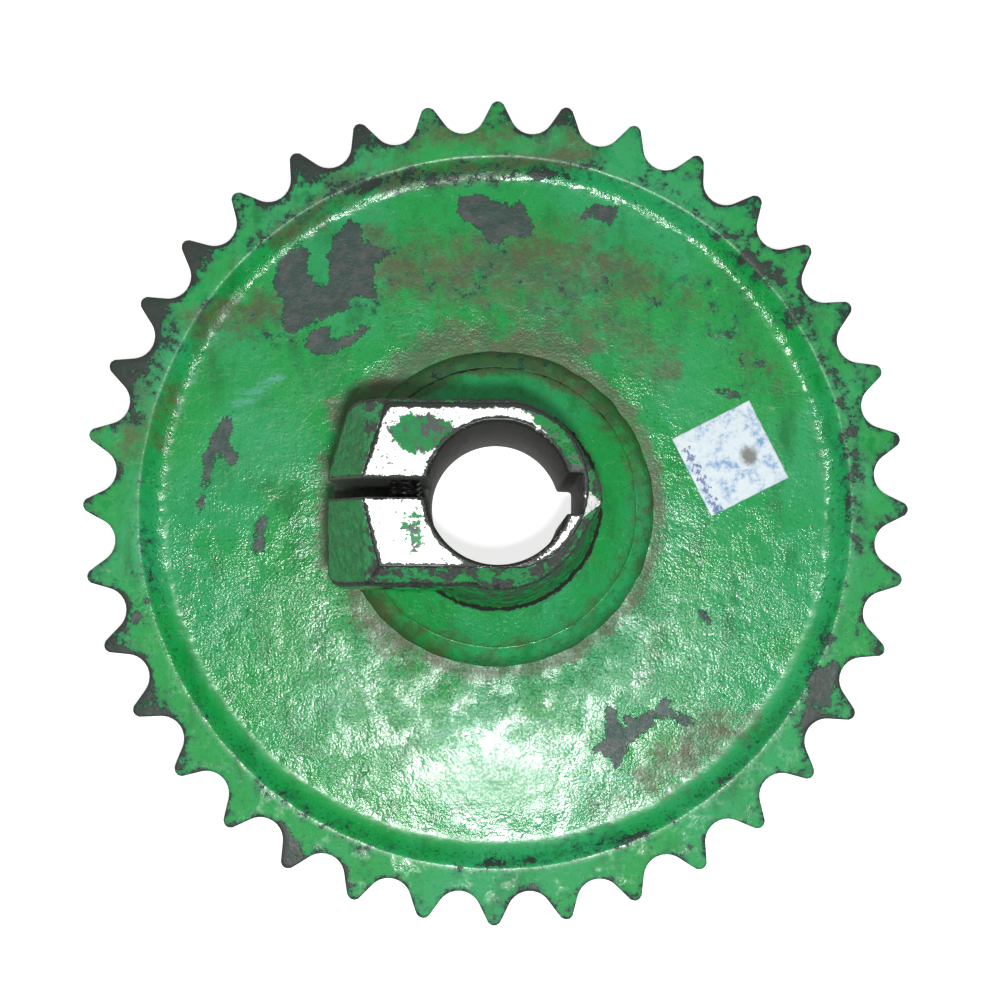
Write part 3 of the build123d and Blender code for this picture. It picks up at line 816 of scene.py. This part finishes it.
def crease_distance(node, points):
    """Distance in millimetres from each point to the node's nearest sharp edge."""
    shape = bmesh.new()
    shape.from_mesh(node.data)
    bmesh.ops.remove_doubles(shape, verts=shape.verts, dist=0.002 * MM)
    marks = []
    for edge in shape.edges:
        if len(edge.link_faces) == 2 and edge.calc_face_angle(0) > radians(25):
            start, end = (vertex.co / MM for vertex in edge.verts)
            steps = int((end - start).length / 0.3) + 1
            marks.extend(start.lerp(end, step / steps) for step in range(steps + 1))
    shape.free()
    tree = KDTree(len(marks))
    for index, mark in enumerate(marks):
        tree.insert(mark, index)
    tree.balance()
    return np.array([tree.find(point)[2] for point in points.tolist()])


def vertex_vectors(mesh, name):
    """Read one three-part value, such as co or normal, of every vertex."""
    flat = np.zeros(len(mesh.vertices) * 3, np.float64 if name == "co" else np.float32)
    mesh.vertices.foreach_get(name, flat)
    return flat.reshape(-1, 3)


def face_paint(x, y, radius, around):
    """Distance to the paint left on the machined front face, below zero in it."""
    lug_patch = np.hypot((x + 18.5) / 1.7, y - 14.5) - 4.8
    low_specks = np.hypot(x + 21, (y + 9) / 2.0) * 0.40 - 0.8
    rubbed_from = BORE_RADIUS + 0.115 * (around - 45)
    ring_patch = np.maximum(rubbed_from - radius, 0.30 * (12 - around))
    ring_patch = np.where(around < 104, ring_patch, 6.0)
    corner = np.hypot(x + 32, y - 23) - 2.5
    return np.minimum.reduce([lug_patch, low_specks, ring_patch, corner])


def worn_edges(points, x, y, z, radius, around):
    """Distance to the hub's nearest blackened edge or to the collar's foot, with the dark line widened as
    painted shade along the lower lug's side wall.
    """
    edge = crease_distance(frame["nodes"]["clamp_hub"], points)
    quiet = np.where(z > 48, 0.0, 0.55 - 0.7 * bump_share(np.abs(around - 120), 60))
    # Painted shade: the dark edge line is widened along the lower lug's side wall.
    lower_wall_shade = (y < LOW_FACE_Y + 1.2) & (x < -4) & (z > 30)
    high_side = (y > 20) & (z > 55)
    foot = np.abs(np.hypot(radius - COLLAR_FOOT_RADIUS, z - COLLAR_FOOT_HEIGHT))
    return np.minimum(edge + quiet - 0.7 * lower_wall_shade - 0.5 * high_side, foot - 0.1)


def rubbed_paint(x, y, z, radius, bevel):
    """How much paint has rubbed off the bevels and the collar's side."""
    mottle = np.where(bevel, 0.50, -0.9)
    mottle = np.where(bevel & (x < END_FACE_X), -0.25, mottle)
    collar_side = (z > 24) & (radius < 32) & (x > -14) & (y < 16) & ~bevel
    return np.where(collar_side, 0.48 + 0.12 * np.clip((z - 40) / 20, -1, 1), mottle)


def hub_grime(z, radius, around):
    """Brown dirt in the flange's creases, most of it at the upper left."""
    crease = bump_share(np.abs(radius - FLANGE_RADIUS + 0.5), 1.8)
    crease = crease + bump_share(np.abs(radius - COLLAR_FOOT_RADIUS + 0.1), 1.2) * (z < 24)
    top_left = bump_share(np.abs(around - 110), 60)
    grime = np.clip(0.10 + (0.35 + 0.4 * top_left) * crease, 0, 1) * (z < 40)
    return grime + np.where(z < 40, 0.10, -0.25)


def make_hub():
    """The split clamp hub as a rough casting with machined faces."""
    hub = remeshed(frame["nodes"]["clamp_hub"], "hub_casting", 0.5)
    points = vertex_vectors(hub.data, "co") / MM
    normals = vertex_vectors(hub.data, "normal")
    x, y, z = points.T
    radius = np.hypot(x, y)
    around = np.degrees(np.arctan2(y, x))
    in_keyway = (x > 0) & (np.abs(y) < 5.4) & (x < KEYWAY_X + 0.4) & (z < HUB_LENGTH - 0.4)
    in_bore = (radius < BORE_RADIUS + 0.9) | in_keyway
    in_slot = (x < 0) & (y > -1.5) & (y < 4.1) & (z > SLOT_FLOOR) & (radius > BORE_RADIUS)
    on_face = (z > HUB_LENGTH - 0.45) & (normals[:, 2] > 0.6)
    past_keyway = x - KEYWAY_X
    keyway_lip = (past_keyway > -0.5) & (past_keyway < 5.0 - 1.3 * np.abs(y + 2.0)) & (z > 60)
    bevel = (z > 52) & (normals[:, 2] > 0.3) & ~on_face
    end_bevel = (x < END_FACE_X) & (z > 30)

    machined = in_bore | in_slot | on_face | (z < 1.0)
    rough = ripple(points, 9.0, 1.0) * 0.28 + ripple(points, 3.2, 4.0) * 0.12
    rough = np.where(machined, 0.0, rough - 0.10)
    points = points + normals * rough[:, None]
    points[on_face, 2] = HUB_LENGTH
    points[:, 2] = np.clip(points[:, 2], 0, HUB_LENGTH)
    hub.data.vertices.foreach_set("co", (points * MM).ravel())
    hub.data.update()

    glaze = bump_share(np.abs(radius - 33.5), 2.6) * bump_share(np.abs(around + 92), 28)
    add_field(hub, "face", (on_face | keyway_lip).astype(float))
    add_field(hub, "bore", ((in_bore | in_slot) & ~on_face).astype(float))
    add_field(hub, "slot", in_slot.astype(float))
    add_field(hub, "edge", np.clip(worn_edges(points, x, y, z, radius, around), 0, 8))
    add_field(hub, "mottle", rubbed_paint(x, y, z, radius, bevel))
    add_field(hub, "grime", hub_grime(z, radius, around))
    add_field(hub, "glaze", glaze * (z < 30))
    add_field(hub, "patch", face_paint(x, y, radius, around))
    add_field(hub, "rub", np.full(len(x), -0.7))
    # Painted shade, strongest on the steep end bevel.
    add_field(hub, "painted_shade", np.where(end_bevel, 0.95, np.where(z > 30, 0.60, 0.15)))
    hub.data.materials.clear()
    hub.data.materials.append(casting_finish())
    hub.data.polygons.foreach_set("use_smooth", [True] * len(hub.data.polygons))
    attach(hub, "sprocket")
    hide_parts("clamp_hub")


# ---------------------------------------------------------------- weld beads


def make_front_bead():
    """The fillet weld round the flange, laid in short overlapping ripples."""
    columns = 540
    section = 14
    foot = BEAD_HIGH.x - 0.25
    top = BEAD_HIGH.z - 0.1
    points = []
    for row in range(section):
        share = row / (section - 1)
        for column in range(columns):
            angle = column / columns * 2 * pi
            weave = noise.noise(Vector((cos(angle) * 9, sin(angle) * 9, 3.0)))
            phase = angle * 62 + 1.6 * weave - 2.2 * (share - 0.5) ** 2
            ridge = 0.5 + 0.5 * sin(phase)
            width = foot - FLANGE_RADIUS + 0.35 * weave
            radius = FLANGE_RADIUS - 0.3 + (width + 0.3) * (1 - share)
            height = WEB_FRONT - 0.1 + (top - WEB_FRONT) * share
            belly = sin(pi * share) * (1.05 + 0.20 * ridge + 0.25 * weave)
            radius += belly * 0.75
            height += belly * 0.62
            radius = min(radius, BEAD_HIGH.x)
            points.append((radius * cos(angle), radius * sin(angle), min(height, top)))
    for radius, height in ((FLANGE_RADIUS - 0.8, top - 0.6), (FLANGE_RADIUS - 0.8, WEB_FRONT - 0.1)):
        for column in range(columns):
            angle = column / columns * 2 * pi
            points.append((radius * cos(angle), radius * sin(angle), height))
    faces = ring_faces(section + 2, columns, wrap=True)
    bead = new_piece("front_bead_ripples", points, faces, enamel_finish("bead_enamel", shine=0.3))
    x, y, z = np.array(points).T
    around = np.arctan2(y, x)
    brown = bump_share(np.abs(np.mod(around - radians(100) + pi, 2 * pi) - pi), radians(70))
    left = bump_share(np.abs(np.mod(around - radians(190) + pi, 2 * pi) - pi), radians(40))
    height = (z - WEB_FRONT) / (top - WEB_FRONT)
    add_field(bead, "wear", 0.15 + 0.25 * brown)
    add_field(bead, "grime", 0.40 + 0.55 * np.maximum(brown, left) + 0.2 * (1 - height))
    add_even_fields(bead, chip=3.0, peel=0.6, rub=-0.7, calm=0.0)
    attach(bead, "sprocket")
    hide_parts("front_weld_bead")


def make_back_bead():
    """The groove weld at the hub's back, a low crown of ripples."""
    columns = 420
    section = 9
    inner = HOLE_RADIUS - 0.3
    outer = BACK_BEAD_RADIUS
    points = []
    for row in range(section):
        share = row / (section - 1)
        for column in range(columns):
            angle = column / columns * 2 * pi
            weave = noise.noise(Vector((cos(angle) * 8, sin(angle) * 8, 6.0)))
            ridge = sin(angle * 48 + 1.5 * weave - 1.8 * (share - 0.5) ** 2)
            radius = inner + (outer - inner) * share + 0.2 * weave * share
            crown = sin(pi * share) * (1.0 + 0.10 * ridge)
            height = WEB_BACK + 0.1 - 1.15 * crown
            radius = min(radius, outer)
            points.append((radius * cos(angle), radius * sin(angle), height))
    for radius in (outer - 0.6, inner + 0.2):
        for column in range(columns):
            angle = column / columns * 2 * pi
            points.append((radius * cos(angle), radius * sin(angle), WEB_BACK + 1.0))
    faces = ring_faces(section + 2, columns, wrap=True, flip=True)
    bead = new_piece("back_bead_ripples", points, faces, enamel_finish("back_bead_enamel", shine=0.3))
    add_even_fields(bead, chip=3.0, wear=0.3, grime=0.45, peel=0.6, rub=-0.7, calm=0.0)
    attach(bead, "sprocket")
    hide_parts("back_weld_bead")


# ---------------------------------------------------------------- the label


def make_label():
    """A square of foil, slightly creased, with one corner lifting."""
    low, high = (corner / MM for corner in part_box("security_label"))
    centre = (low + high) / 2
    half = LABEL_SIDE / 2
    turn = radians(27)
    cells = 40
    thickness = 0.12
    grid = np.linspace(-half, half, cells + 1)
    top = []
    for v in grid:
        for u in grid:
            lift = max(0.0, (u + v) / LABEL_SIDE - 0.72) ** 2 * 4.0
            crease = noise.noise(Vector((u / 5, v / 5, 1.0))) * 0.05
            rub = noise.noise(Vector((u / 2.0, v / 2.0, 4.0))) * 0.25
            worn_u = u * (1 - 0.012 * (abs(u) > half - 0.1) * (1 + rub * 3))
            worn_v = v * (1 - 0.012 * (abs(v) > half - 0.1) * (1 - rub * 3))
            x = centre.x + worn_u * cos(turn) - worn_v * sin(turn)
            y = centre.y + worn_u * sin(turn) + worn_v * cos(turn)
            top.append((x, y, WEB_FRONT + thickness + 0.06 + crease + lift))
    under = [(x, y, z - thickness) for x, y, z in top]
    per_row = cells + 1
    faces = []
    for row in range(cells):
        for column in range(cells):
            a = row * per_row + column
            faces.append((a, a + 1, a + 1 + per_row, a + per_row))
            b = a + per_row**2
            faces.append((b, b + per_row, b + 1 + per_row, b + 1))
    border = list(range(per_row))
    border += [row * per_row + cells for row in range(1, per_row)]
    border += [cells * per_row + column for column in range(cells - 1, -1, -1)]
    border += [row * per_row for row in range(cells - 1, 0, -1)]
    for start, end in zip(border, border[1:] + border[:1]):
        faces.append((end, start, start + per_row**2, end + per_row**2))
    label = new_piece("foil_label", top + under, faces, label_finish())
    u, v = np.meshgrid(grid, grid)
    u, v = np.tile(u.ravel(), 2), np.tile(v.ravel(), 2)
    tiles = (np.abs(u + 9.6) + np.abs(np.mod(v, 3.2) - 1.6) < 1.7) & (v < 8)
    add_field(label, "tiles", tiles.astype(float))
    add_field(label, "smudge", np.hypot(u - 4.8, (v + 1.6) * 0.8) - 2.0)
    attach(label, "sprocket")
    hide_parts("security_label")


# ---------------------------------------------------------------- screws and washers


def make_screw(place, finish):
    """A socket head screw: knurled head, hexagon socket and a cut thread."""
    node = "clamp_screw_" + place
    low, high = (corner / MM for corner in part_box(node))
    centre_x = (low.x + high.x) / 2
    centre_z = (low.z + high.z) / 2
    head_radius, head_height, length = 6.5, 8.0, 30.0
    seat = low.y + head_height
    columns = 96
    shank_radius, pitch, thread_depth = 3.98, 1.25, 0.72
    rows = []

    def hexagon(angle):
        return 3.0 / cos((angle + pi / 6) % (pi / 3) - pi / 6)

    def ring(radius, height):
        rows.append([(radius, height)] * columns)

    angles = [column / columns * 2 * pi for column in range(columns)]
    rows.append([(0.02, -head_height + 4.6)] * columns)
    rows.append([(hexagon(a), -head_height + 4.0) for a in angles])
    rows.append([(hexagon(a), -head_height + 0.25) for a in angles])
    rows.append([(hexagon(a) + 0.25, -head_height) for a in angles])
    ring(head_radius - 0.75, -head_height)
    ring(head_radius - 0.3, -head_height + 0.2)
    for share in np.linspace(0.6, head_height - 0.9, 4):
        knurl = [0.10 if column % 2 else -0.06 for column in range(columns)]
        rows.append([(head_radius - 0.11 + k, -head_height + share) for k in knurl])
    ring(head_radius - 0.1, -0.35)
    ring(head_radius - 0.4, 0.0)
    ring(shank_radius + 0.35, 0.0)
    ring(shank_radius - 0.02, 0.35)
    ring(shank_radius - 0.02, 6.0)
    for height in np.arange(6.4, length - 0.4, pitch / 8):
        row = []
        for angle in angles:
            phase = (height / pitch - angle / (2 * pi)) % 1.0
            tooth = abs(phase - 0.5) * 2
            fade = min(1.0, (height - 6.2) / 1.2)
            taper = max(0.0, height - (length - 1.4)) * 0.55
            row.append((shank_radius - fade * thread_depth * min(1.0, tooth * 1.25) - taper, height))
        rows.append(row)
    ring(shank_radius - 1.2, length)
    ring(0.02, length)
    points = []
    for row in rows:
        for (radius, height), angle in zip(row, angles):
            points.append((centre_x + radius * cos(angle), seat + height, centre_z + radius * sin(angle)))
    faces = ring_faces(len(rows), columns, flip=True)
    faces.append(tuple(range(columns)))
    last = (len(rows) - 1) * columns
    faces.append(tuple(range(last + columns - 1, last - 1, -1)))
    screw = new_piece("socket_screw_" + place, points, faces, finish, smooth=False)
    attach(screw, place + "_screw")
    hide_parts(node)


def dress_washer(place, finish):
    """Give the split lock washer its dull spring steel."""
    node = frame["nodes"]["lock_washer_" + place]
    for slot in node.material_slots:
        slot.material = finish


# ---------------------------------------------------------------- stage, light, camera


def make_floor():
    """A wide pale floor, just under the part, that glows a little."""
    half = 3000.0
    finish = Finish("pale_floor")
    dust = finish.noise(60.0, detail=2.0)
    colour = finish.blend(dust, (0.93, 0.93, 0.93), (0.90, 0.90, 0.90))
    normal = finish.bump(dust, 0.01)
    finish.shader.inputs["Emission Color"].default_value = (1.0, 1.0, 1.0, 1.0)
    finish.shader.inputs["Emission Strength"].default_value = 0.78
    corners = [(-half, -half, -0.05), (half, -half, -0.05), (half, half, -0.05), (-half, half, -0.05)]
    floor = new_piece("floor", corners, [(0, 1, 2, 3)], finish.wear(colour, 0.9, 0.0, normal))


def add_light(name, place, size, power, aim=(0, 0, 0)):
    """A round soft light at a place in millimetres, aimed at a point."""
    data = bpy.data.lights.new(name, "AREA")
    data.shape = "DISK"
    data.size = size * MM
    data.energy = power
    light = bpy.data.objects.new(name, data)
    light.location = Vector(place) * MM
    direction = (Vector(aim) - Vector(place)).normalized()
    light.rotation_euler = direction.to_track_quat("-Z", "Y").to_euler()
    bpy.context.scene.collection.objects.link(light)


def make_camera():
    """A camera above the part, a little toward -Y."""
    distance = 544.0
    place = Vector((-5.1, -35.8, TOOTH_WIDTH + distance))
    target = Vector((1.1, 2.0, TOOTH_WIDTH))
    forward = (target - place).normalized()
    right = forward.cross(Vector((0, 1, 0))).normalized()
    up = right.cross(forward)
    turn = Matrix((right, up, -forward)).transposed()
    turn = turn @ Matrix.Rotation(radians(0.25), 3, "Z")
    data = bpy.data.cameras.new("camera")
    data.sensor_width = 36.0
    data.lens = 72.5
    data.clip_start = 0.01
    camera = bpy.data.objects.new("camera", data)
    camera.matrix_world = Matrix.Translation(place * MM) @ turn.to_4x4()
    bpy.context.scene.collection.objects.link(camera)
    bpy.context.scene.camera = camera


def light_scene():
    """A dim white surround and one small bright lamp near the camera."""
    scene = bpy.context.scene
    scene.view_settings.view_transform = "Standard"
    world = bpy.data.worlds.new("studio")
    world.use_nodes = True
    background = world.node_tree.nodes["Background"]
    background.inputs["Color"].default_value = (1.0, 1.0, 1.0, 1.0)
    background.inputs["Strength"].default_value = 0.34
    scene.world = world
    add_light("flash", (6, -84, 560), 34, 1.95, aim=(0, -10, 0))


make_camera()
light_scene()
make_floor()
make_plate()
make_hub()
make_front_bead()
make_back_bead()
make_label()
screw_finish = steel_finish("black_oxide", (0.020, 0.020, 0.021), (0.16, 0.15, 0.14), 0.35)
washer_finish = steel_finish("spring_steel", (0.09, 0.085, 0.075), (0.30, 0.29, 0.27), 0.40)
for place in ("front", "rear"):
    make_screw(place, screw_finish)
    dress_washer(place, washer_finish)
